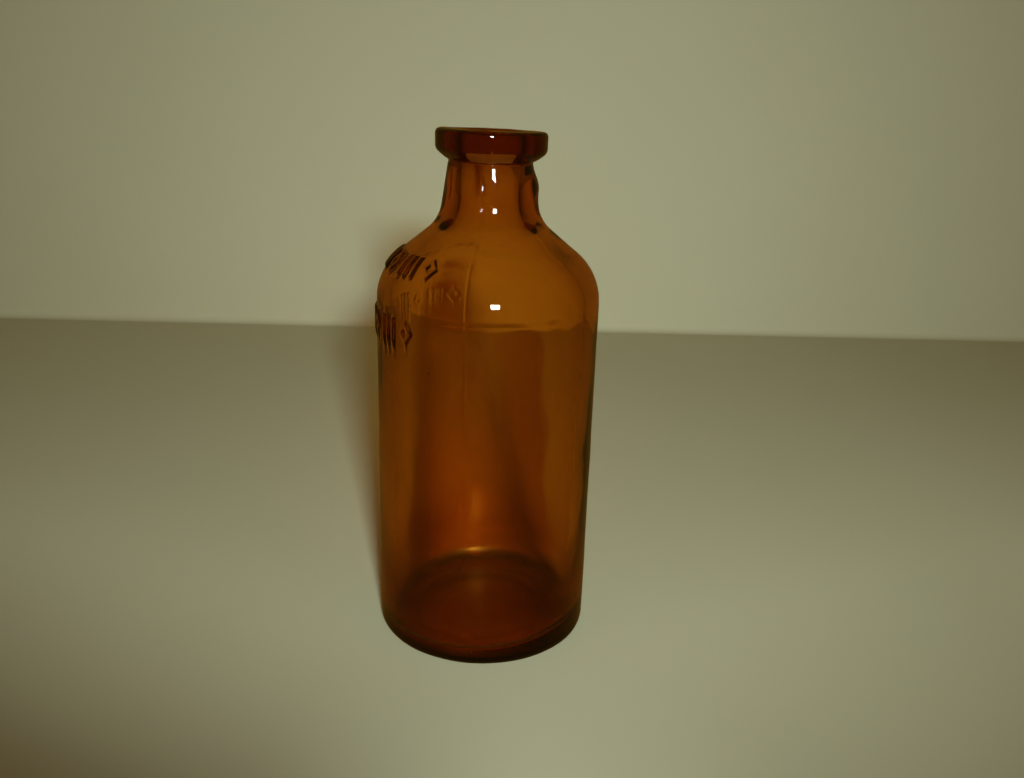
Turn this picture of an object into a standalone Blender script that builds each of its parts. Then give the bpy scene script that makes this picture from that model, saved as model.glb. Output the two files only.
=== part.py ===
"""Amber cork-mouth medicine bottle, in metres, with +Z up.

The base's centre is at the origin and the bottle's axis is Z. The front, with its two bands of
raised marks, faces -Y, and the two halves of the mould met at +X and -X.
"""

import math

import bmesh
import bpy
from mathutils import Matrix, Vector

MM = 0.001

# Outside of the blown body, which is turned about Z.
BODY_RADIUS = 27.0 * MM
TOTAL_HEIGHT = 126.0 * MM
HEEL_ROUND = 2.2 * MM
SHOULDER_START = 86.2 * MM
SHOULDER_ROUND = 15.0 * MM
SHOULDER_LEAN = math.radians(51.0)  # the shoulder's slope, measured from upright
NECK_FOOT_ROUND = 9.0 * MM
NECK_LEAN = math.radians(8.0)
NECK_TOP_RADIUS = 10.1 * MM
NECK_TOP = 118.9 * MM

# Inside of the blown body.
WALL = 2.6 * MM
FLOOR_THICKNESS = 4.5 * MM
FLOOR_ROUND = 3.0 * MM
BORE_RADIUS = 7.0 * MM

# Underside: a flat ring that the bottle stands on, round a shallow push-up.
BEARING_INNER_RADIUS = 19.0 * MM
PUSH_UP = 1.6 * MM

# The lip, a ring of glass laid on the end of the neck.
JOINT_GAP = 0.3 * MM
LIP_RADIUS = 13.1 * MM
LIP_UNDERSIDE_RISE = 2.1 * MM
LIP_LOWER_ROUND = 2.0 * MM
LIP_TOP_ROUND = 1.1 * MM
MOUTH_ROUND = 0.8 * MM

# Two bands of raised marks on the front: groups of three upright bars between lozenges.
MARK_HEIGHT = 5.8 * MM
MARK_RELIEF = 0.5 * MM
MARK_ROOT = 0.9 * MM  # how far a mark reaches down into the wall
BAR_WIDTH = 1.1 * MM
LOZENGE_WIDTH = 4.0 * MM
LOZENGES_IN_BAND = 5
BARS_BETWEEN = 3
STEPS_BETWEEN = 6  # from one lozenge to the next, at the bars' spacing
FIRST_BAR_STEP = 2
BODY_BAND_HEIGHT = 82.1 * MM
BODY_BAND_HALF_ANGLE = math.radians(57.5)
SHOULDER_BAND_HEIGHT = 96.4 * MM
SHOULDER_BAND_HALF_ANGLE = math.radians(66.0)

# Bottle glass, with its colours in linear red, green and blue.
GLASS_IOR = 1.52
BODY_COLOUR = (0.30, 0.09, 0.004)
BODY_ROUGHNESS = 0.04
LIP_COLOUR = (0.16, 0.03, 0.002)
LIP_ROUGHNESS = 0.06

TURN_STEPS = 72
ARC_CHORD = 1.6 * MM
FEWEST_ARC_STEPS = 3
SHARP_EDGE = math.radians(35.0)
ON_AXIS = 1e-7


def rounded_outline(corners):
    """The outline through corners of (radius, height, rounding), with an arc at each rounding."""
    points = []
    for index, (radius, height, rounding) in enumerate(corners):
        corner = Vector((radius, height))
        if rounding == 0:
            points.append(corner)
            continue
        to_last = (Vector(corners[index - 1][:2]) - corner).normalized()
        to_next = (Vector(corners[(index + 1) % len(corners)][:2]) - corner).normalized()
        turn = math.pi - to_last.angle(to_next)
        middle = (to_last + to_next).normalized()
        centre = corner + middle * (rounding / math.cos(turn / 2))
        start = corner + to_last * (rounding * math.tan(turn / 2)) - centre
        way = 1 if start.x * (corner - centre).y > start.y * (corner - centre).x else -1
        steps = max(FEWEST_ARC_STEPS, math.ceil(turn * rounding / ARC_CHORD))
        for step in range(steps + 1):
            points.append(centre + Matrix.Rotation(way * turn * step / steps, 2) @ start)
    return points


def turned_mesh(name, outline, closed):
    """A solid turned about Z from an outline of (radius, height) points."""
    mesh = bpy.data.meshes.new(name)
    turned = bmesh.new()
    rim = [turned.verts.new((point.x, 0, point.y)) for point in outline]
    pairs = list(zip(rim, rim[1:]))
    if closed:
        pairs.append((rim[-1], rim[0]))
    edges = [turned.edges.new(pair) for pair in pairs]
    bmesh.ops.spin(
        turned,
        geom=rim + edges,
        cent=(0, 0, 0),
        axis=(0, 0, 1),
        angle=2 * math.pi,
        steps=TURN_STEPS,
        use_merge=True,
    )
    on_axis = [v for v in turned.verts if math.hypot(v.co.x, v.co.y) < ON_AXIS]
    bmesh.ops.remove_doubles(turned, verts=on_axis, dist=ON_AXIS)
    bmesh.ops.recalc_face_normals(turned, faces=turned.faces)
    turned.to_mesh(mesh)
    turned.free()
    mesh.shade_smooth()
    mesh.set_sharp_from_angle(angle=SHARP_EDGE)
    return mesh


def shoulder_line(radius, start, rounding):
    """Where the shoulder's slope, run on down, meets the upright wall that it grows from."""
    return (radius, start + rounding * math.tan(SHOULDER_LEAN / 2), rounding)


def on_slope(foot, radius):
    """The height at which the shoulder's slope through foot reaches a radius."""
    return foot[1] + (foot[0] - radius) / math.tan(SHOULDER_LEAN)


def neck_foot(foot):
    """Where the shoulder's slope meets the line of the tapered neck."""
    rise_per_radius = 1 / math.tan(SHOULDER_LEAN)
    taper = math.tan(NECK_LEAN)
    slope_at_axis = foot[1] + foot[0] * rise_per_radius
    neck_at_ground = NECK_TOP_RADIUS + NECK_TOP * taper
    height = (slope_at_axis - neck_at_ground * rise_per_radius) / (1 - taper * rise_per_radius)
    return (neck_at_ground - height * taper, height, NECK_FOOT_ROUND)


def body_outline():
    """From the middle of the underside out and up the outside, and down the bore to the floor."""
    outer_foot = shoulder_line(BODY_RADIUS, SHOULDER_START, SHOULDER_ROUND)
    inner_foot = shoulder_line(BODY_RADIUS - WALL, SHOULDER_START, SHOULDER_ROUND - WALL)
    return rounded_outline(
        [
            (0, PUSH_UP, 0),
            (BEARING_INNER_RADIUS - PUSH_UP, PUSH_UP, 0),
            (BEARING_INNER_RADIUS, 0, 0),
            (BODY_RADIUS, 0, HEEL_ROUND),
            outer_foot,
            neck_foot(outer_foot),
            (NECK_TOP_RADIUS, NECK_TOP, 0),
            (BORE_RADIUS, NECK_TOP, 0),
            (BORE_RADIUS, on_slope(inner_foot, BORE_RADIUS), NECK_FOOT_ROUND),
            inner_foot,
            (BODY_RADIUS - WALL, FLOOR_THICKNESS, FLOOR_ROUND),
            (0, FLOOR_THICKNESS, 0),
        ]
    )


def lip_outline():
    """Round the lip's section: out along its underside, up its side, over its top and down the bore."""
    underside = NECK_TOP + JOINT_GAP
    return rounded_outline(
        [
            (NECK_TOP_RADIUS, underside, 0),
            (LIP_RADIUS, underside + LIP_UNDERSIDE_RISE, LIP_LOWER_ROUND),
            (LIP_RADIUS, TOTAL_HEIGHT, LIP_TOP_ROUND),
            (BORE_RADIUS, TOTAL_HEIGHT, MOUTH_ROUND),
            (BORE_RADIUS, underside, 0),
        ]
    )


def shoulder_point(height):
    """The outer radius at a height on the shoulder's rounding, and its lean from upright there."""
    lean = math.asin((height - SHOULDER_START) / SHOULDER_ROUND)
    return BODY_RADIUS - SHOULDER_ROUND * (1 - math.cos(lean)), lean


def raised_mark(marks, lozenge, angle, radius, height, lean):
    """One bar or lozenge, standing out of the glass at an angle round Z from the front."""
    size = BAR_WIDTH
    if lozenge:
        size = LOZENGE_WIDTH
    depth = MARK_ROOT + MARK_RELIEF
    shape = bmesh.ops.create_cube(marks, size=1)["verts"]
    if lozenge:
        bmesh.ops.rotate(marks, verts=shape, matrix=Matrix.Rotation(math.pi / 4, 3, "Y"))
        bmesh.ops.scale(marks, verts=shape, vec=(1 / math.sqrt(2), 1, 1 / math.sqrt(2)))
    bmesh.ops.scale(marks, verts=shape, vec=(size, depth, MARK_HEIGHT))
    bmesh.ops.translate(marks, verts=shape, vec=(0, depth / 2 - MARK_RELIEF, 0))
    bmesh.ops.rotate(marks, verts=shape, matrix=Matrix.Rotation(-lean, 3, "X"))
    bmesh.ops.translate(marks, verts=shape, vec=(0, -radius, height))
    bmesh.ops.rotate(marks, verts=shape, matrix=Matrix.Rotation(angle, 3, "Z"))


def mark_band(marks, half_angle, radius, height, lean):
    """A band of lozenges, evenly spread over the angle, with bars between them."""
    lozenge_step = 2 * half_angle / (LOZENGES_IN_BAND - 1)
    bar_step = lozenge_step / STEPS_BETWEEN
    for number in range(LOZENGES_IN_BAND):
        angle = number * lozenge_step - half_angle
        raised_mark(marks, True, angle, radius, height, lean)
        if number == LOZENGES_IN_BAND - 1:
            continue
        for bar in range(BARS_BETWEEN):
            raised_mark(marks, False, angle + (FIRST_BAR_STEP + bar) * bar_step, radius, height, lean)


def mould_marks():
    """The raised marks of both bands as a helper, which the body is joined to."""
    mesh = bpy.data.meshes.new("mould_marks")
    marks = bmesh.new()
    mark_band(marks, BODY_BAND_HALF_ANGLE, BODY_RADIUS, BODY_BAND_HEIGHT, 0)
    radius, lean = shoulder_point(SHOULDER_BAND_HEIGHT)
    mark_band(marks, SHOULDER_BAND_HALF_ANGLE, radius, SHOULDER_BAND_HEIGHT, lean)
    bmesh.ops.recalc_face_normals(marks, faces=marks.faces)
    marks.to_mesh(mesh)
    marks.free()
    helper = bpy.data.objects.new("mould_marks", mesh)
    helper.hide_render = True
    helper.display_type = "WIRE"
    bpy.context.scene.collection.objects.link(helper)
    return helper


def glass(name, colour, roughness):
    """Coloured bottle glass."""
    material = bpy.data.materials.new(name)
    material.use_nodes = True
    shader = material.node_tree.nodes["Principled BSDF"]
    shader.inputs["Base Color"].default_value = (*colour, 1)
    shader.inputs["Roughness"].default_value = roughness
    shader.inputs["Metallic"].default_value = 0
    shader.inputs["Transmission Weight"].default_value = 1
    shader.inputs["IOR"].default_value = GLASS_IOR
    return material


def add_part(name, mesh, material):
    part = bpy.data.objects.new(name, mesh)
    mesh.materials.append(material)
    bpy.context.scene.collection.objects.link(part)
    return part


def make_bottle():
    body_glass = glass("amber_glass", BODY_COLOUR, BODY_ROUGHNESS)
    body = add_part("bottle_body", turned_mesh("bottle_body", body_outline(), False), body_glass)
    raise_marks = body.modifiers.new("raise_marks", "BOOLEAN")
    raise_marks.operation = "UNION"
    raise_marks.solver = "EXACT"
    raise_marks.object = mould_marks()
    lip_glass = glass("amber_lip_glass", LIP_COLOUR, LIP_ROUGHNESS)
    add_part("applied_lip", turned_mesh("applied_lip", lip_outline(), True), lip_glass)


for old in list(bpy.data.objects):
    bpy.data.objects.remove(old)
make_bottle()
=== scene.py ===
import math

import bmesh
import bpy
import numpy as np
from mathutils import Matrix, Vector


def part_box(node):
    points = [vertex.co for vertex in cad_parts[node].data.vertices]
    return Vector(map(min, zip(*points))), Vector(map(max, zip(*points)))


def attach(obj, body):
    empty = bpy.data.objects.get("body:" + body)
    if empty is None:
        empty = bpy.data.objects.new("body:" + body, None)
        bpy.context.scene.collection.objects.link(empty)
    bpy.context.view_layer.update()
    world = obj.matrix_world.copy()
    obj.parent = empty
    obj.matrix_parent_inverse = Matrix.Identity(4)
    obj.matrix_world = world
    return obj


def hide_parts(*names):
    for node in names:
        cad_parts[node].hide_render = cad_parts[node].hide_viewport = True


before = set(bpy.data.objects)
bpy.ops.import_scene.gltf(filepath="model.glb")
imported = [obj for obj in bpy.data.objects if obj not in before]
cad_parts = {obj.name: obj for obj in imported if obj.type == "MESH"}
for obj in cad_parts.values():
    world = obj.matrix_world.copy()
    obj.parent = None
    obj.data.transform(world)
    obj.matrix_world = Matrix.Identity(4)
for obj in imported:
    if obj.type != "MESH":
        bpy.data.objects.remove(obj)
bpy.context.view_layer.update()        # the CAD bottle, standing on z = 0 with its raised marks facing -Y
mm = 0.001
upright = Vector((0, 0, 1))

# azimuths are in degrees round Z: 0 is the front (-Y), 90 is the mould seam at +X
shot = {
    "azimuth": 100.5,        # where the camera stands
    "distance": 218.2 * mm,  # from the bottle's axis, along the table
    "height": 132.9 * mm,
    "pitchDown": 17.72,      # degrees
    "turnRight": 1.70,
    "roll": 1.74,
    "lens": 31.9,            # in the camera's own millimetres
    "sensor": 36.0,
    "clipStart": 0.01,
}


# sRGB hex to the linear values that the shaders use
def linearColour(hexCode):
    parts = [int(hexCode.lstrip("#")[i:i + 2], 16) / 255 for i in (0, 2, 4)]
    return tuple(c / 12.92 if c <= 0.04045 else ((c + 0.055) / 1.055) ** 2.4 for c in parts) + (1.0,)


def addNode(tree, kind, settings=None, links=None):
    node = tree.nodes.new(kind)
    for name, value in (settings or {}).items():
        if isinstance(name, str) and hasattr(node, name):
            setattr(node, name, value)
        else:
            node.inputs[name].default_value = value
    for name, source in (links or {}).items():
        tree.links.new(source, node.inputs[name])
    return node


# the level direction from the axis out to an azimuth
def towards(azimuth):
    return Vector((math.sin(math.radians(azimuth)), -math.cos(math.radians(azimuth)), 0))


def makeCamera():
    back = towards(shot["azimuth"])
    right = upright.cross(back)
    turn, pitch, roll = (math.radians(shot[k]) for k in ("turnRight", "pitchDown", "roll"))
    level = -back * math.cos(turn) + right * math.sin(turn)
    forward = level * math.cos(pitch) - Vector((0, 0, math.sin(pitch)))
    side = level.cross(upright)
    up = side.cross(forward)
    cameraX = side * math.cos(roll) + up * math.sin(roll)
    cameraY = up * math.cos(roll) - side * math.sin(roll)
    data = bpy.data.cameras.new("shotCamera")
    data.lens = shot["lens"]
    data.sensor_width = shot["sensor"]
    data.clip_start = shot["clipStart"]
    camera = bpy.data.objects.new("shotCamera", data)
    camera.matrix_world = Matrix((cameraX, cameraY, -forward)).transposed().to_4x4()
    camera.location = back * shot["distance"] + Vector((0, 0, shot["height"]))
    bpy.context.scene.collection.objects.link(camera)
    bpy.context.scene.camera = camera


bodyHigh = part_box("bottle_body")[1]
lipLow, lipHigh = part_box("applied_lip")

bottle = {
    "radius": bodyHigh.x,
    "neckTop": bodyHigh.z,
    "lipUnderside": lipLow.z,
    "lipRadius": lipHigh.x,
    "height": lipHigh.z,
    "heelRound": 2.2 * mm,
    "shoulderStart": 86.2 * mm,
    "shoulderRound": 15.0 * mm,
    "shoulderLean": math.radians(51),  # from upright
    "neckFootRound": 9.0 * mm,
    "neckLean": math.radians(8),
    "neckTopRadius": 10.1 * mm,
    "creaseRound": 0.5 * mm,           # where the lip sits on the neck
    "wall": 2.6 * mm,
    "floor": 3.4 * mm,
    "floorRound": 3.4 * mm,
    "boreRadius": 7.0 * mm,
    "bearingInner": 19.0 * mm,
    "bearingRound": 4 * mm,
    "pushUp": 1.6 * mm,
    "pushUpSlope": 7 * mm,             # how wide the slope round the push-up is
    "pushUpRound": 12 * mm,
    "lipRise": 2.1 * mm,
    "lipLowerRound": 2.0 * mm,
    "lipTopRound": 1.1 * mm,
    "mouthRound": 0.9 * mm,
}

marks = {
    "height": 5.8 * mm,
    "relief": 0.5 * mm,
    "edge": 0.45 * mm,       # how wide the soft slope at a mark's edge is
    "barWidth": 1.25 * mm,
    "lozengeWidth": 4.2 * mm,
    "ring": 1.15 * mm,       # a lozenge is a raised line round a lower middle
    "ringDip": 0.75,         # how far that middle drops, as a share of the relief
    "lozenges": 5,
    "barsBetween": 3,
    "weakEnd": 0.16,         # the mould left less of the marks at -X
    "weakBefore": -35,       # the azimuth at which they are weakest
    "weakFade": 50,          # and the degrees over which they come to full height
    "bodyHeight": 82.1 * mm,
    "bodyHalfAngle": 57.5,
    "shoulderHeight": 96.4 * mm,
    "shoulderHalfAngle": 66.0,
}

flow = {                     # what blowing and tooling left in the glass
    "seed": 11,
    "skinRipple": 0.035 * mm,
    "skinRippleLength": 9 * mm,
    "innerRipple": 0.06 * mm,
    "innerRippleLength": 30 * mm,
    "oval": 0.3 * mm,        # the bore is wider towards the camera and away from it
    "ovalTurn": 8,           # twice the oval's turn from there, in degrees
    "wallFoot": 4 * mm,      # below this the inner skin is floor, and the wall's shape fades in above it
    "wallFade": 10 * mm,
    "wallRadius": 10 * mm,
    "wallRadiusFade": 8 * mm,
    "lowThick": 0.7 * mm,    # the wall thickens downwards, most at camera right
    "lowThickBelow": 92 * mm,
    "lowThickRight": 0.2,
    "shoulderThick": 0.25 * mm,
    "shoulderThickAt": 99 * mm,
    "shoulderThickSpread": 14 * mm,
    "floorLumps": 0.25 * mm,
    "floorLumpLength": 14 * mm,
    "floorLumpTop": 12 * mm,
    "floorLumpFade": 6 * mm,
    "floorTilt": 2.4 * mm,
    "floorTiltTop": 14 * mm,
    "floorTiltFade": 10 * mm,
    "floorThickAzimuth": shot["azimuth"] + 110,
    "seamAzimuths": (90.0, 270.0),
    "seamHeight": 0.045 * mm,
    "seamWidth": 0.22 * mm,
    "seamStart": 1 * mm,
    "seamStartFade": 2 * mm,
    "seamEnd": 117 * mm,     # the lipping tool wiped it out above
    "seamEndFade": 5 * mm,
    "seamNeckStart": 104 * mm,
    "seamNeckFade": 4 * mm,
    "seamNeckGain": 1.2,     # it stands prouder on the neck
    "lipTilt": 0.016,        # the lip leans down towards camera right
    "lipTiltBelow": 3 * mm,  # the lean starts this far under the lip
    "lipTiltFade": 4 * mm,
    "toolBulge": 0.55 * mm,  # glass pushed down the neck by the tool, with a dip above it
    "toolBulgeAzimuth": shot["azimuth"] + 95,
    "toolBulgeSpread": 38,
    "toolBulgeHeight": 113.6 * mm,
    "toolBulgeReach": 2.2 * mm,
    "toolDipShare": 0.5,
    "toolDipHeight": 118.0 * mm,
    "toolDipReach": 1.6 * mm,
    "tooledFade": 1 * mm,
    "turningDepth": 0.012 * mm,
    "turningPitches": (1.1 * mm, 0.73 * mm),
    "lipRipple": 0.09 * mm,
    "lipRippleLength": 12 * mm,
    "creaseDepth": 0.22 * mm,
    "creaseReach": 0.35 * mm,
    "axisClear": 6 * mm,     # unevenness fades out this close to the axis
}

rowSteps = {                 # between the mesh's rows, close where there is something to show
    "boreInLip": 0.8 * mm,
    "nearFloor": 0.9 * mm,
    "inside": 2.2 * mm,
    "lip": 0.36 * mm,
    "marks": 0.27 * mm,
    "heel": 0.45 * mm,
    "underBase": 2.5 * mm,
    "shoulderAndNeck": 0.7 * mm,
    "body": 2.4 * mm,
    "bodyMarksReach": 0.58,      # either side of a band's middle, as shares of the marks' height
    "shoulderMarksReach": 0.42,  # less, because the shoulder leans
}

columnSteps = {              # between its columns, in degrees
    "marks": 0.6,
    "pastMarks": 6,
    "elsewhere": 2.7,
    "afterMarks": 2.5,
    "beforeMarks": 1,
    "atSeam": (-1.2, -0.7, -0.35, 0, 0.35, 0.7, 1.2),
    "seamClear": 1.9,        # no other column is this near to a seam
}


# points along (radius, height, rounding) corners, with an arc at each rounding
def roundedOutline(corners, chord=0.4 * mm, fewestSteps=4):
    points = []
    for i, (radius, height, rounding) in enumerate(corners):
        corner = Vector((radius, height))
        if rounding == 0:
            points.append(corner)
            continue
        toLast = (Vector(corners[i - 1][:2]) - corner).normalized()
        toNext = (Vector(corners[i + 1][:2]) - corner).normalized()
        turn = math.pi - toLast.angle(toNext)
        centre = corner + (toLast + toNext).normalized() * (rounding / math.cos(turn / 2))
        start = corner + toLast * (rounding * math.tan(turn / 2)) - centre
        out = corner - centre
        way = 1 if start.x * out.y > start.y * out.x else -1
        steps = max(fewestSteps, math.ceil(turn * rounding / chord))
        for step in range(steps + 1):
            points.append(centre + Matrix.Rotation(way * turn * step / steps, 2) @ start)
    return np.array([tuple(p) for p in points])


# the section of the whole bottle, from under its base up, over the lip and down to its inner floor
def bottleCorners():
    b = bottle
    lean = math.tan(b["shoulderLean"])
    outerFoot = b["shoulderStart"] + b["shoulderRound"] * math.tan(b["shoulderLean"] / 2)
    innerRadius = b["radius"] - b["wall"]
    innerRound = b["shoulderRound"] - b["wall"]
    innerFoot = b["shoulderStart"] + innerRound * math.tan(b["shoulderLean"] / 2)
    boreFoot = innerFoot + (innerRadius - b["boreRadius"]) / lean
    taper = math.tan(b["neckLean"])
    neckAtGround = b["neckTopRadius"] + b["neckTop"] * taper
    neckFoot = (outerFoot + (b["radius"] - neckAtGround) / lean) / (1 - taper / lean)
    bearingFoot = b["bearingInner"] + 1 * mm
    return [
        (0, b["pushUp"], 0),
        (bearingFoot - b["pushUpSlope"], b["pushUp"], b["pushUpRound"]),
        (bearingFoot, 0, b["bearingRound"]),
        (b["radius"], 0, b["heelRound"]),
        (b["radius"], outerFoot, b["shoulderRound"]),
        (neckAtGround - neckFoot * taper, neckFoot, b["neckFootRound"]),
        (b["neckTopRadius"], b["neckTop"], b["creaseRound"]),
        (b["lipRadius"], b["lipUnderside"] + b["lipRise"], b["lipLowerRound"]),
        (b["lipRadius"], b["height"], b["lipTopRound"]),
        (b["boreRadius"], b["height"], b["mouthRound"]),
        (b["boreRadius"], boreFoot, b["neckFootRound"]),
        (innerRadius, innerFoot, innerRound),
        (innerRadius, b["floor"], b["floorRound"]),
        (0, b["floor"], 0),
    ]


def rowSpacing(radius, height, inside):
    b = bottle
    if inside:
        if height > b["neckTop"]:
            return rowSteps["boreInLip"]
        return rowSteps["nearFloor" if height < b["floor"] + b["floorRound"] + 1 * mm else "inside"]
    if height > b["neckTop"] - 1 * mm:
        return rowSteps["lip"]
    for band in ("body", "shoulder"):
        reach = rowSteps[band + "MarksReach"] * marks["height"]
        if abs(height - marks[band + "Height"]) < reach and radius > b["lipRadius"]:
            return rowSteps["marks"]
    if height < b["heelRound"]:
        return rowSteps["heel" if radius > b["bearingInner"] - 3 * mm else "underBase"]
    return rowSteps["shoulderAndNeck" if height > b["shoulderStart"] else "body"]


# radius and height, outward normal, side and length along the outline of each row of the mesh
def outlineRows():
    fine = roundedOutline(bottleCorners())
    onTop = fine[:, 0] > bottle["lipRadius"] - bottle["lipTopRound"]
    topIndex = int(np.argmax(fine[:, 1] + onTop * 1e-6))  # of the level top, its outer end
    steps = np.hypot(*np.diff(fine, axis=0).T)
    along = np.concatenate([[0], np.cumsum(steps)])

    def pointsAt(lengths):
        return np.stack([np.interp(lengths, along, fine[:, k]) for k in (0, 1)], axis=-1)

    spots, s = [0.0], 0.0
    while s < along[-1]:
        radius, height = pointsAt(s)
        s += rowSpacing(radius, height, s > along[topIndex])
        spots.append(min(s, along[-1]))
    spots = np.array(spots)
    near = 0.15 * mm
    tangent = pointsAt(spots + near) - pointsAt(spots - near)
    tangent /= np.hypot(*tangent.T)[:, None]
    normal = np.stack([tangent[:, 1], -tangent[:, 0]], axis=1)
    return pointsAt(spots), normal, spots > along[topIndex], spots


def columnAzimuths():
    c = columnSteps
    reach = marks["shoulderHalfAngle"] + c["pastMarks"]
    close = np.arange(-reach, reach + 0.01, c["marks"])  # with its last column
    wide = np.arange(reach + c["afterMarks"], 360 - reach - c["beforeMarks"], c["elsewhere"])
    seams = [seam + offset for seam in flow["seamAzimuths"] for offset in c["atSeam"]]
    wide = np.array([a for a in wide if min(abs(a - s) for s in flow["seamAzimuths"]) > c["seamClear"]])
    return np.sort(np.concatenate([close, wide, seams]))


def smooth(x):
    x = np.clip(x, 0, 1)
    return x * x * (3 - 2 * x)


def hump(x, width):
    return np.exp(-(x / width) ** 2)


# how far an azimuth is from another, in degrees, from -180 to 180
def turnedBy(azimuth, middle):
    return (azimuth - middle + 180) % 360 - 180


# a smooth unevenness, mostly from -1 to 1, that is the same after a full turn
def waves(azimuth, height, seed, shortest, mostAround, count=14):
    random = np.random.default_rng(seed)
    total = np.zeros(np.broadcast(azimuth, height).shape)
    for _ in range(count):
        around = random.integers(1, mostAround + 1)
        rise = 2 * math.pi / (shortest * random.uniform(1, 5))
        phase = random.uniform(0, 2 * math.pi)
        lean = random.choice([-1, 1])
        total += np.cos(np.radians(azimuth) * around + lean * height * rise + phase)
    return total / math.sqrt(count)


# the height of one band of marks: groups of upright bars between open lozenges
def markRelief(azimuth, along, middle, halfAngle, radius):
    m = marks
    v = np.abs(along - middle)
    total = np.zeros(np.broadcast(azimuth, v).shape)
    lozengeStep = 2 * halfAngle / (m["lozenges"] - 1)
    barStep = lozengeStep / (m["barsBetween"] + 3)  # two steps from a lozenge to the nearest bar
    halfWide, halfHigh = m["lozengeWidth"] / 2, m["height"] / 2
    ends = smooth((m["height"] / 2 - v) / m["edge"] + 0.5)
    for number in range(m["lozenges"]):
        start = number * lozengeStep - halfAngle
        u = np.abs(np.radians(azimuth - start)) * radius
        inward = (1 - u / halfWide - v / halfHigh) * halfWide * halfHigh / math.hypot(halfWide, halfHigh)
        dip = m["ringDip"] * smooth((inward - m["ring"]) / m["edge"] + 0.5)
        total = np.maximum(total, smooth(inward / m["edge"] + 0.5) - dip)
        if number == m["lozenges"] - 1:
            continue
        for bar in range(m["barsBetween"]):
            u = np.abs(np.radians(azimuth - start - (bar + 2) * barStep)) * radius
            total = np.maximum(total, ends * smooth((m["barWidth"] / 2 - u) / m["edge"] + 0.5))
    fullness = smooth((azimuth - m["weakBefore"]) / m["weakFade"])
    return total * m["relief"] * (m["weakEnd"] + (1 - m["weakEnd"]) * fullness)


# how far the outer skin stands proud of the plain turned shape
def outsideShape(azimuth, rows, spots):
    f = flow
    height = rows[:, 1][:, None]
    radius = rows[:, 0][:, None]
    along = spots[:, None]
    out = f["skinRipple"] * waves(azimuth, height, f["seed"], f["skinRippleLength"], mostAround=11)
    onNeckOrLip = rows[:, 0] < bottle["lipRadius"]  # which puts a row a metre out of reach
    for band in ("body", "shoulder"):
        nearest = int(np.argmin(np.abs(rows[:, 1] - marks[band + "Height"]) + onNeckOrLip))
        middle, radiusThere = spots[nearest], rows[nearest, 0]
        relief = markRelief(turnedBy(azimuth, 0), along, middle, marks[band + "HalfAngle"], radiusThere)
        out = out + relief
    seamed = smooth((height - f["seamStart"]) / f["seamStartFade"])
    seamed = seamed * smooth((f["seamEnd"] - height) / f["seamEndFade"])
    onNeck = 1 + f["seamNeckGain"] * smooth((height - f["seamNeckStart"]) / f["seamNeckFade"])
    for seam in f["seamAzimuths"]:
        away = np.radians(turnedBy(azimuth, seam)) * radius
        out = out + f["seamHeight"] * onNeck * seamed * hump(away, f["seamWidth"])
    bulge = f["toolBulge"] * hump(turnedBy(azimuth, f["toolBulgeAzimuth"]), f["toolBulgeSpread"])
    out = out + bulge * hump(height - f["toolBulgeHeight"], f["toolBulgeReach"])
    out = out - f["toolDipShare"] * bulge * hump(height - f["toolDipHeight"], f["toolDipReach"])
    tooled = smooth((height - bottle["neckTop"]) / f["tooledFade"])
    coarse, fine = f["turningPitches"]
    rings = np.sin(height * 2 * math.pi / coarse) + np.sin(height * 2 * math.pi / fine + 1)
    out = out + tooled * f["turningDepth"] * rings
    ripple = waves(azimuth, height, f["seed"] + 1, f["lipRippleLength"], mostAround=5)
    out = out + tooled * f["lipRipple"] * ripple
    out = out - f["creaseDepth"] * hump(height - bottle["neckTop"], f["creaseReach"])
    return out * np.clip(radius / f["axisClear"], 0, 1)


# how far the inner skin stands into the hollow, and how far the floor is lifted
def insideShape(azimuth, rows, normal):
    f = flow
    height = rows[:, 1][:, None]
    radius = rows[:, 0][:, None]
    onWall = smooth((height - f["wallFoot"]) / f["wallFade"])
    onWall = onWall * smooth((radius - f["wallRadius"]) / f["wallRadiusFade"])
    fromShot = turnedBy(azimuth, shot["azimuth"])
    toRight = np.cos(np.radians(fromShot - 90))
    out = -onWall * f["oval"] * np.cos(np.radians(2 * fromShot - f["ovalTurn"]))
    lowThick = f["lowThick"] * (1 + f["lowThickRight"] * toRight)
    out = out + onWall * lowThick * (1 - height / f["lowThickBelow"])
    onShoulder = hump(height - f["shoulderThickAt"], f["shoulderThickSpread"])
    out = out + f["shoulderThick"] * smooth(toRight) * onShoulder
    ripple = waves(azimuth, height, f["seed"] + 2, f["innerRippleLength"], mostAround=5)
    out = out + onWall * f["innerRipple"] * ripple
    nearFloor = smooth((f["floorLumpTop"] - height) / f["floorLumpFade"])
    floorward = np.clip(normal[:, 1][:, None], 0, 1) * nearFloor
    lumps = f["floorLumps"] * waves(azimuth, radius, f["seed"] + 3, f["floorLumpLength"], mostAround=3)
    out = out + floorward * lumps * np.clip(radius / f["axisClear"], 0, 1)
    tilt = np.cos(np.radians(azimuth - f["floorThickAzimuth"])) * radius / bottle["radius"]
    lift = f["floorTilt"] * tilt * smooth((f["floorTiltTop"] - height) / f["floorTiltFade"])
    return out, lift


def gridFaces(rowCount, columnCount):
    row = np.arange(rowCount - 1)[:, None] * columnCount
    column = np.arange(columnCount)[None, :]
    nextColumn = (column + 1) % columnCount
    a, b = row + column, row + nextColumn
    c, d = b + columnCount, a + columnCount
    return np.stack([a, b, c, d], axis=-1).reshape(-1, 4).tolist()


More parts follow.
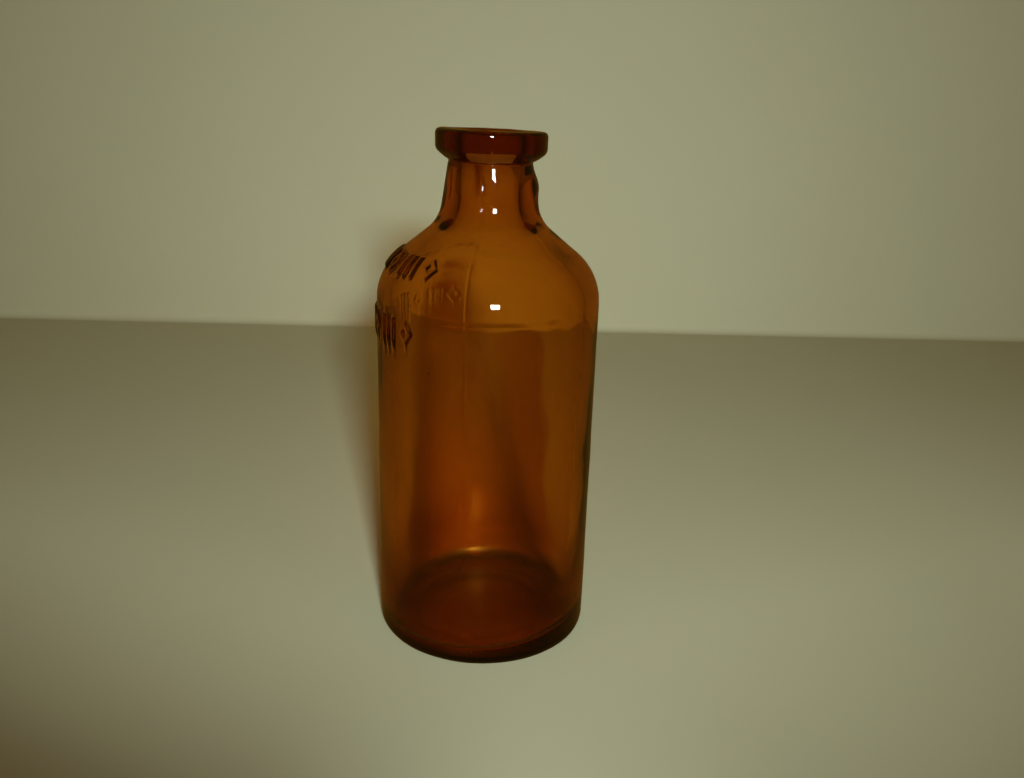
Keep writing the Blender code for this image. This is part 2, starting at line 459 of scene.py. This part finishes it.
def glassPoints():
    rows, normal, inside, spots = outlineRows()
    azimuth = columnAzimuths()[None, :]
    outward = outsideShape(azimuth, rows, spots)
    inward, lift = insideShape(azimuth, rows, normal)
    push = np.where(inside[:, None], inward, outward)
    radius = rows[:, 0][:, None] + push * normal[:, 0][:, None]
    height = rows[:, 1][:, None] + push * normal[:, 1][:, None] + np.where(inside[:, None], lift, 0)
    radius, height = radius[1:-1], height[1:-1]
    turn = np.radians(azimuth)
    x, y = radius * np.sin(turn), -radius * np.cos(turn)
    right = upright.cross(towards(shot["azimuth"]))
    toRight = x * right.x + y * right.y
    onLip = smooth((height - bottle["neckTop"] + flow["lipTiltBelow"]) / flow["lipTiltFade"])
    height = height - flow["lipTilt"] * toRight * onLip
    points = np.stack([x, y, height], axis=-1)
    ends = [(0, 0, rows[0, 1]), (0, 0, rows[-1, 1])]
    return points, ends, inside[1:-1]


seeds = {                    # small bubbles trapped in the wall
    "count": 46,
    "sizes": (0.06 * mm, 0.09 * mm, 0.13 * mm, 0.17 * mm),
    "shares": (0.4, 0.3, 0.2, 0.1),
    "longest": 2.2,          # the glass drew them out upwards as it was blown
    "depth": 1.1 * mm,       # under the outer skin
    "lowest": 12 * mm,
    "highest": 84 * mm,
}


# closed shells that face into themselves, as the hollows in glass do
def seedBubbles():
    random = np.random.default_rng(flow["seed"] + 4)
    ball = bmesh.new()
    bmesh.ops.create_icosphere(ball, subdivisions=2, radius=1)
    shell = np.array([tuple(v.co) for v in ball.verts])
    turned = [[v.index for v in reversed(f.verts)] for f in ball.faces]
    ball.free()
    points, faces = [], []
    for _ in range(seeds["count"]):
        size = random.choice(seeds["sizes"], p=seeds["shares"])
        stretch = np.array([1, 1, random.uniform(1.0, seeds["longest"])])
        azimuth = random.uniform(0, 360)
        centre = towards(azimuth) * (bottle["radius"] - seeds["depth"])
        centre.z = random.uniform(seeds["lowest"], seeds["highest"])
        faces += [[i + len(points) * len(shell) for i in f] for f in turned]
        points.append(shell * size * stretch + np.array(centre))
    return np.concatenate(points), faces


def makeGlass():
    points, ends, inside = glassPoints()
    rowCount, columnCount = points.shape[:2]
    vertices = points.reshape(-1, 3).tolist()
    faces = gridFaces(rowCount, columnCount)
    underside = len(vertices)
    for end, rowStart, flip in ((ends[0], 0, True), (ends[1], (rowCount - 1) * columnCount, False)):
        centre = len(vertices)
        vertices.append(end)
        for column in range(columnCount):
            a, b = rowStart + column, rowStart + (column + 1) % columnCount
            faces.append([b, a, centre] if flip else [a, b, centre])
    seedPoints, seedFaces = seedBubbles()
    first = len(vertices)
    vertices += seedPoints.tolist()
    faces += [[i + first for i in f] for f in seedFaces]
    mesh = bpy.data.meshes.new("bottleGlass")
    mesh.from_pydata(vertices, [], faces)
    mesh.validate()
    mesh.shade_smooth()
    # 1 on the outside of the bottle and 0 inside it, for the tint
    outerSkin = np.zeros(len(mesh.vertices), dtype=np.float32)
    outerSkin[:underside] = np.repeat(~inside, columnCount)
    outerSkin[underside] = 1
    mesh.attributes.new("outerSkin", "FLOAT", "POINT").data.foreach_set("value", outerSkin)
    glass = bpy.data.objects.new("bottleGlass", mesh)
    bpy.context.scene.collection.objects.link(glass)
    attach(glass, "root")
    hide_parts("bottle_body", "applied_lip")
    triangles = sum(len(p.vertices) - 2 for p in mesh.polygons)
    print("glass:", rowCount, "rows,", columnCount, "columns,", triangles, "triangles")
    return glass


# Amber bottle glass: soda-lime coloured with iron and sulphur, blown in a two-part mould.
# It takes out blue first and then green, so thin walls look honey and thick ones red-black.
amber = {
    "ior": 1.52,
    "tintsAndPaintedShade": (                        # what the outer skin adds to the depth's colour, up the bottle
        (0.0, "#BE7E31"),             # the thick base, with painted shade that darkens the lower quarter of the bottle
        (0.03, "#BE7529"),
        (0.12, "#BE6D1F"),
        (0.24, "#F1B03F"),
        (0.9, "#F5AD43"),
        (0.95, "#9C4113"),            # the lip, from a redder gather
    ),
    "heelShadeTint": "#4C4C26",            # painted shade: the glass darker and greener where the base meets the wall
    "heelRadii": (23.5 * mm, 25.5 * mm),
    "heelHeights": (5.5 * mm, 3.0 * mm),
    "absorb": (62.0, 155.0, 380.0),   # per metre of glass, in red, green and blue
    "lampTint": "#FFFFE6",            # what each skin lets through of a lamp's light, square on
    "lampTintSlant": "#C09C5C",       # and at a slant, where the light has further to go
    "lampSlants": (0.42, 0.88),       # cosines from the lamp's direction, slanting and square on
    "roughness": 0.015,
    "haze": 0.02,                     # handling grease and fine wear, added to the roughness
    "hazeScale": 65.0,                # patches about 15 mm across
    "hazeRange": (0.45, 0.75),        # of the noise, from clean glass to full haze
    "wornRoughness": 0.06,            # shelf wear on the bearing ring and the heel
    "wornHeight": 1.5 * mm,
    "scratchScale": 900.0,            # about 1 mm apart, coarser than real ones so that they show
    "filmRoughness": 0.24,            # a dried film inside, over the floor and up the low wall
    "filmRadii": (25.8 * mm, 25.3 * mm),
    "filmHeights": (42 * mm, 8 * mm),
    "filmFacing": -0.3,               # what faces down more than this is the underside, with no film
    "dimpleScale": 240.0,             # the iron mould's chill marks, about 4 mm apart
    "dimpleDepth": 0.02 * mm,
    "dimpleStrength": 0.25,
}


def lampPlace():
    back = towards(shot["azimuth"])
    right = upright.cross(back)
    level = back * studio["keyDistance"] + right * studio["keyRight"]
    return level + Vector((0, 0, studio["keyHeight"]))


# the tint up the bottle, with painted shade low down and at the heel, on the outer skin alone
def tintNodes(tree, height, radius):
    share = addNode(tree, "ShaderNodeMath", {"operation": "DIVIDE", 1: bottle["height"]}, {0: height})
    # the ramp's low stops are painted shade as well as the thick base's colour
    tint = addNode(tree, "ShaderNodeValToRGB", links={0: share.outputs[0]})
    stops = tint.color_ramp.elements
    while len(stops) < len(amber["tintsAndPaintedShade"]):
        stops.new(0.5)
    for stop, (position, colour) in zip(stops, amber["tintsAndPaintedShade"]):
        stop.position = position
        stop.color = linearColour(colour)
    outerRing = addNode(tree, "ShaderNodeMapRange", {
        "From Min": amber["heelRadii"][0], "From Max": amber["heelRadii"][1], "To Min": 0.0, "To Max": 1.0,
    }, {"Value": radius})
    lowRing = addNode(tree, "ShaderNodeMapRange", {
        "interpolation_type": "SMOOTHSTEP", "From Min": amber["heelHeights"][0],
        "From Max": amber["heelHeights"][1], "To Min": 0.0, "To Max": 1.0,
    }, {"Value": height})
    onHeel = addNode(tree, "ShaderNodeMath", {"operation": "MULTIPLY"}, {
        0: outerRing.outputs[0], 1: lowRing.outputs[0],
    })
    # painted shade, darker and greener, on the heel's outer skin
    heelShaded = addNode(tree, "ShaderNodeMix", {"data_type": "RGBA", 7: linearColour(amber["heelShadeTint"])}, {
        0: onHeel.outputs[0], 6: tint.outputs["Color"],
    })
    outer = addNode(tree, "ShaderNodeAttribute", {"attribute_name": "outerSkin"})
    return addNode(tree, "ShaderNodeMix", {"data_type": "RGBA", 6: (1, 1, 1, 1)}, {
        0: outer.outputs["Fac"], 7: heelShaded.outputs[2],
    }).outputs[2]


# fire-polished glass under patchy haze, with shelf wear below and a dried film inside
def roughnessNodes(tree, where, height, radius, normal):
    haze = addNode(tree, "ShaderNodeTexNoise", {
        "Scale": amber["hazeScale"], "Detail": 5.0, "Roughness": 0.6,
    }, {"Vector": where})
    hazed = addNode(tree, "ShaderNodeMapRange", {
        "From Min": amber["hazeRange"][0], "From Max": amber["hazeRange"][1],
        "To Min": amber["roughness"], "To Max": amber["roughness"] + amber["haze"],
    }, {"Value": haze.outputs["Fac"]})
    worn = addNode(tree, "ShaderNodeMapRange", {
        "From Min": 0.0, "From Max": amber["wornHeight"], "To Min": amber["wornRoughness"], "To Max": 0.0,
    }, {"Value": height})
    scratches = addNode(tree, "ShaderNodeTexNoise", {
        "Scale": amber["scratchScale"], "Detail": 3.0,
    }, {"Vector": where})
    wear = addNode(tree, "ShaderNodeMath", {"operation": "MULTIPLY"}, {
        0: worn.outputs[0], 1: scratches.outputs["Fac"],
    })
    rough = addNode(tree, "ShaderNodeMath", {"operation": "ADD"}, {0: hazed.outputs[0], 1: wear.outputs[0]})
    within = addNode(tree, "ShaderNodeMapRange", {
        "From Min": amber["filmRadii"][0], "From Max": amber["filmRadii"][1],
        "To Min": 0.0, "To Max": amber["filmRoughness"],
    }, {"Value": radius})
    low = addNode(tree, "ShaderNodeMapRange", {
        "interpolation_type": "SMOOTHSTEP", "From Min": amber["filmHeights"][0],
        "From Max": amber["filmHeights"][1], "To Min": 0.0, "To Max": 1.0,
    }, {"Value": height})
    splitNormal = addNode(tree, "ShaderNodeSeparateXYZ", links={0: normal})
    notUnder = addNode(tree, "ShaderNodeMath", {"operation": "GREATER_THAN", 1: amber["filmFacing"]}, {
        0: splitNormal.outputs["Z"],
    })
    onFloor = addNode(tree, "ShaderNodeMath", {"operation": "MULTIPLY"}, {
        0: low.outputs[0], 1: notUnder.outputs[0],
    })
    film = addNode(tree, "ShaderNodeMath", {"operation": "MULTIPLY"}, {
        0: within.outputs[0], 1: onFloor.outputs[0],
    })
    return addNode(tree, "ShaderNodeMath", {"operation": "ADD"}, {
        0: rough.outputs[0], 1: film.outputs[0],
    }).outputs[0]


# lamps reach what is behind the glass, tinted, which gives it the amber shadow of real glass
def lampNodes(tree, normal):
    lampDirection = tuple(lampPlace().normalized())
    facing = addNode(tree, "ShaderNodeVectorMath", {"operation": "DOT_PRODUCT", 1: lampDirection}, {
        0: normal,
    })
    square = addNode(tree, "ShaderNodeMath", {"operation": "ABSOLUTE"}, {0: facing.outputs["Value"]})
    squareOn = addNode(tree, "ShaderNodeMapRange", {
        "From Min": amber["lampSlants"][0], "From Max": amber["lampSlants"][1],
        "To Min": 0.0, "To Max": 1.0,
    }, {"Value": square.outputs[0]})
    colour = addNode(tree, "ShaderNodeMix", {
        "data_type": "RGBA", 6: linearColour(amber["lampTintSlant"]), 7: linearColour(amber["lampTint"]),
    }, {0: squareOn.outputs[0]})
    return addNode(tree, "ShaderNodeBsdfTransparent", {}, {"Color": colour.outputs[2]}).outputs[0]


def amberBottleGlass():
    material = bpy.data.materials.new("amberBottleGlass")
    material.use_nodes = True
    tree = material.node_tree
    tree.nodes.clear()
    where = addNode(tree, "ShaderNodeTexCoord").outputs["Object"]
    normal = addNode(tree, "ShaderNodeTexCoord").outputs["Normal"]
    height = addNode(tree, "ShaderNodeSeparateXYZ", links={0: where}).outputs["Z"]
    level = addNode(tree, "ShaderNodeVectorMath", {"operation": "MULTIPLY", 1: (1, 1, 0)}, {0: where})
    radius = addNode(tree, "ShaderNodeVectorMath", {"operation": "LENGTH"}, {
        0: level.outputs[0],
    }).outputs["Value"]
    dimples = addNode(tree, "ShaderNodeTexNoise", {
        "Scale": amber["dimpleScale"], "Detail": 2.0, "Roughness": 0.4,
    }, {"Vector": where})
    bump = addNode(tree, "ShaderNodeBump", {
        "Strength": amber["dimpleStrength"], "Distance": amber["dimpleDepth"],
    }, {"Height": dimples.outputs["Fac"]})
    shader = addNode(tree, "ShaderNodeBsdfPrincipled", {"Transmission Weight": 1.0, "IOR": amber["ior"]}, {
        "Base Color": tintNodes(tree, height, radius),
        "Roughness": roughnessNodes(tree, where, height, radius, normal),
        "Normal": bump.outputs["Normal"],
    })
    rays = addNode(tree, "ShaderNodeLightPath")
    surface = addNode(tree, "ShaderNodeMixShader", {}, {
        0: rays.outputs["Is Shadow Ray"], 1: shader.outputs[0], 2: lampNodes(tree, normal),
    })
    most = max(amber["absorb"])
    depth = addNode(tree, "ShaderNodeVolumeAbsorption", {
        "Color": (*[1 - a / most for a in amber["absorb"]], 1), "Density": most,
    })
    addNode(tree, "ShaderNodeOutputMaterial", {}, {
        "Surface": surface.outputs[0], "Volume": depth.outputs[0],
    })
    return material


studio = {
    "paper": ("#BEBB94", "#B9B58D"),
    "paperRoughness": 0.7,
    "mottleScale": 9.0,      # patches about 110 mm across
    "wallBehind": 318 * mm,  # from the bottle's axis
    "reach": 2.4,            # metres of paper to the sides, to the front and up
    "cove": 5 * mm,
    "coveSteps": 8,
    "drop": 0.05 * mm,       # keeps the paper just clear of the bottle's base
    "world": "#FFBC4A",      # a dim tungsten room
    "worldStrength": 0.11,
    "keyColour": "#E9F5FF",
    "keyPower": 1.04,
    "keySize": (50 * mm, 44 * mm),  # a small soft box above the camera and to its right
    "keyDistance": 500 * mm,
    "keyRight": 68 * mm,
    "keyHeight": 243 * mm,
    "keySpread": 88,         # degrees, as its grid leaves it
    "keyAimBehind": 318 * mm,
    "keyAimHeight": 10 * mm,
    "glintPower": 1.9,       # this lamp's mirror image is the bright spot on the shoulder
    "glintSize": (72 * mm, 66 * mm),
    "glintSpread": 180,
    "glintAimHeight": 80 * mm,
}

# corners in mm on the table, nearer than the bottle's axis and to the right of it; lift is how far
# up towards the lamp the net hangs, and passes is what it lets through
nets = {
    "leftNet": {
        "corners": ((6, -150), (74, -4), (180, -40), (140, -260)), "lift": 0.5, "passes": "#595959",
    },
    "rightNet": {
        "corners": ((10, 160), (76, 30), (180, 70), (140, 260)), "lift": 0.5, "passes": "#AAAAAA",
    },
    "amberGel": {
        "corners": ((-14, 26), (-310, 62), (-310, 6), (-14, 20)), "lift": 0.12, "passes": "#C88848",
    },
}


# matt painted board, rolled flat: a faint mottle and no shine
def backdropPaper():
    material = bpy.data.materials.new("backdropPaper")
    material.use_nodes = True
    tree = material.node_tree
    shader = tree.nodes["Principled BSDF"]
    where = addNode(tree, "ShaderNodeTexCoord").outputs["Object"]
    mottle = addNode(tree, "ShaderNodeTexNoise", {
        "Scale": studio["mottleScale"], "Detail": 4.0,
    }, {"Vector": where})
    light, dark = (linearColour(colour) for colour in studio["paper"])
    shade = addNode(tree, "ShaderNodeMix", {"data_type": "RGBA", 6: light, 7: dark}, {
        0: mottle.outputs["Fac"],
    })
    tree.links.new(shade.outputs[2], shader.inputs["Base Color"])
    shader.inputs["Roughness"].default_value = studio["paperRoughness"]
    return material


# floor and wall in one sheet, with a tight cove between them
def makeBackdrop():
    s = studio
    back = -towards(shot["azimuth"])
    side = back.cross(upright)
    section = [(-s["reach"], 0)]
    for step in range(s["coveSteps"] + 1):
        angle = math.pi / 2 * step / s["coveSteps"]
        far = s["wallBehind"] - s["cove"] + s["cove"] * math.sin(angle)
        section.append((far, s["cove"] * (1 - math.cos(angle))))
    section.append((s["wallBehind"], s["reach"]))
    below = Vector((0, 0, -s["drop"]))
    sheet = bmesh.new()
    left, right = [
        [sheet.verts.new(back * far + side * across + Vector((0, 0, up)) + below) for far, up in section]
        for across in (-s["reach"], s["reach"])
    ]
    for i in range(len(section) - 1):
        sheet.faces.new((left[i], right[i], right[i + 1], left[i + 1]))
    bmesh.ops.recalc_face_normals(sheet, faces=sheet.faces)
    mesh = bpy.data.meshes.new("backdrop")
    sheet.to_mesh(mesh)
    sheet.free()
    mesh.shade_smooth()
    backdrop = bpy.data.objects.new("backdrop", mesh)
    mesh.materials.append(backdropPaper())
    bpy.context.scene.collection.objects.link(backdrop)
    backdrop.visible_glossy = False  # as a polarising filter takes the table's sheen off the glass


# woven net or dyed gel, which lets a share of the light straight through
def netMaterial(name, passes):
    material = bpy.data.materials.new(name)
    material.use_nodes = True
    tree = material.node_tree
    tree.nodes.clear()
    sheer = addNode(tree, "ShaderNodeBsdfTransparent", {"Color": linearColour(passes)})
    addNode(tree, "ShaderNodeOutputMaterial", {}, {"Surface": sheer.outputs[0]})
    return material


def makeNet(name, corners, lift, passes):
    back = towards(shot["azimuth"])
    side = upright.cross(back)
    lamp = lampPlace()
    spots = [
        tuple((back * (near * mm) + side * (right * mm)).lerp(lamp, lift)) for near, right in corners
    ]
    mesh = bpy.data.meshes.new(name)
    mesh.from_pydata(spots, [], [(0, 1, 2, 3)])
    net = bpy.data.objects.new(name, mesh)
    mesh.materials.append(netMaterial(name, passes))
    net.visible_camera = False
    net.visible_diffuse = False
    net.visible_glossy = False
    net.visible_transmission = False
    bpy.context.scene.collection.objects.link(net)


def softBox(name, place, aim, power, spread, size):
    data = bpy.data.lights.new(name, "AREA")
    data.shape = "RECTANGLE"
    data.size, data.size_y = size
    data.spread = math.radians(spread)
    data.energy = power
    data.color = linearColour(studio["keyColour"])[:3]
    light = bpy.data.objects.new(name, data)
    light.location = place
    light.rotation_euler = (aim - place).to_track_quat("-Z", "Y").to_euler()
    light.visible_camera = False
    light.visible_transmission = False  # what passes through the glass is the lamp tint's job
    bpy.context.scene.collection.objects.link(light)
    return light


def makeLights():
    s = studio
    place = lampPlace()
    keyAim = Vector((0, 0, s["keyAimHeight"])) - towards(shot["azimuth"]) * s["keyAimBehind"]
    key = softBox("keyLight", place, keyAim, s["keyPower"], s["keySpread"], s["keySize"])
    key.visible_glossy = False
    glintAim = Vector((0, 0, s["glintAimHeight"]))
    glint = softBox("glintLight", place, glintAim, s["glintPower"], s["glintSpread"], s["glintSize"])
    glint.visible_diffuse = False
    world = bpy.data.worlds.new("studioWorld")
    world.use_nodes = True
    room = world.node_tree.nodes["Background"]
    room.inputs["Color"].default_value = linearColour(s["world"])
    room.inputs["Strength"].default_value = s["worldStrength"]
    bpy.context.scene.world = world


makeCamera()
print("camera set")
bottleGlass = makeGlass()
bottleGlass.data.materials.append(amberBottleGlass())
print("glass made and coloured")
makeBackdrop()
for name, net in nets.items():
    makeNet(name, **net)
makeLights()
bpy.context.scene.view_settings.view_transform = "Standard"
print("studio set")
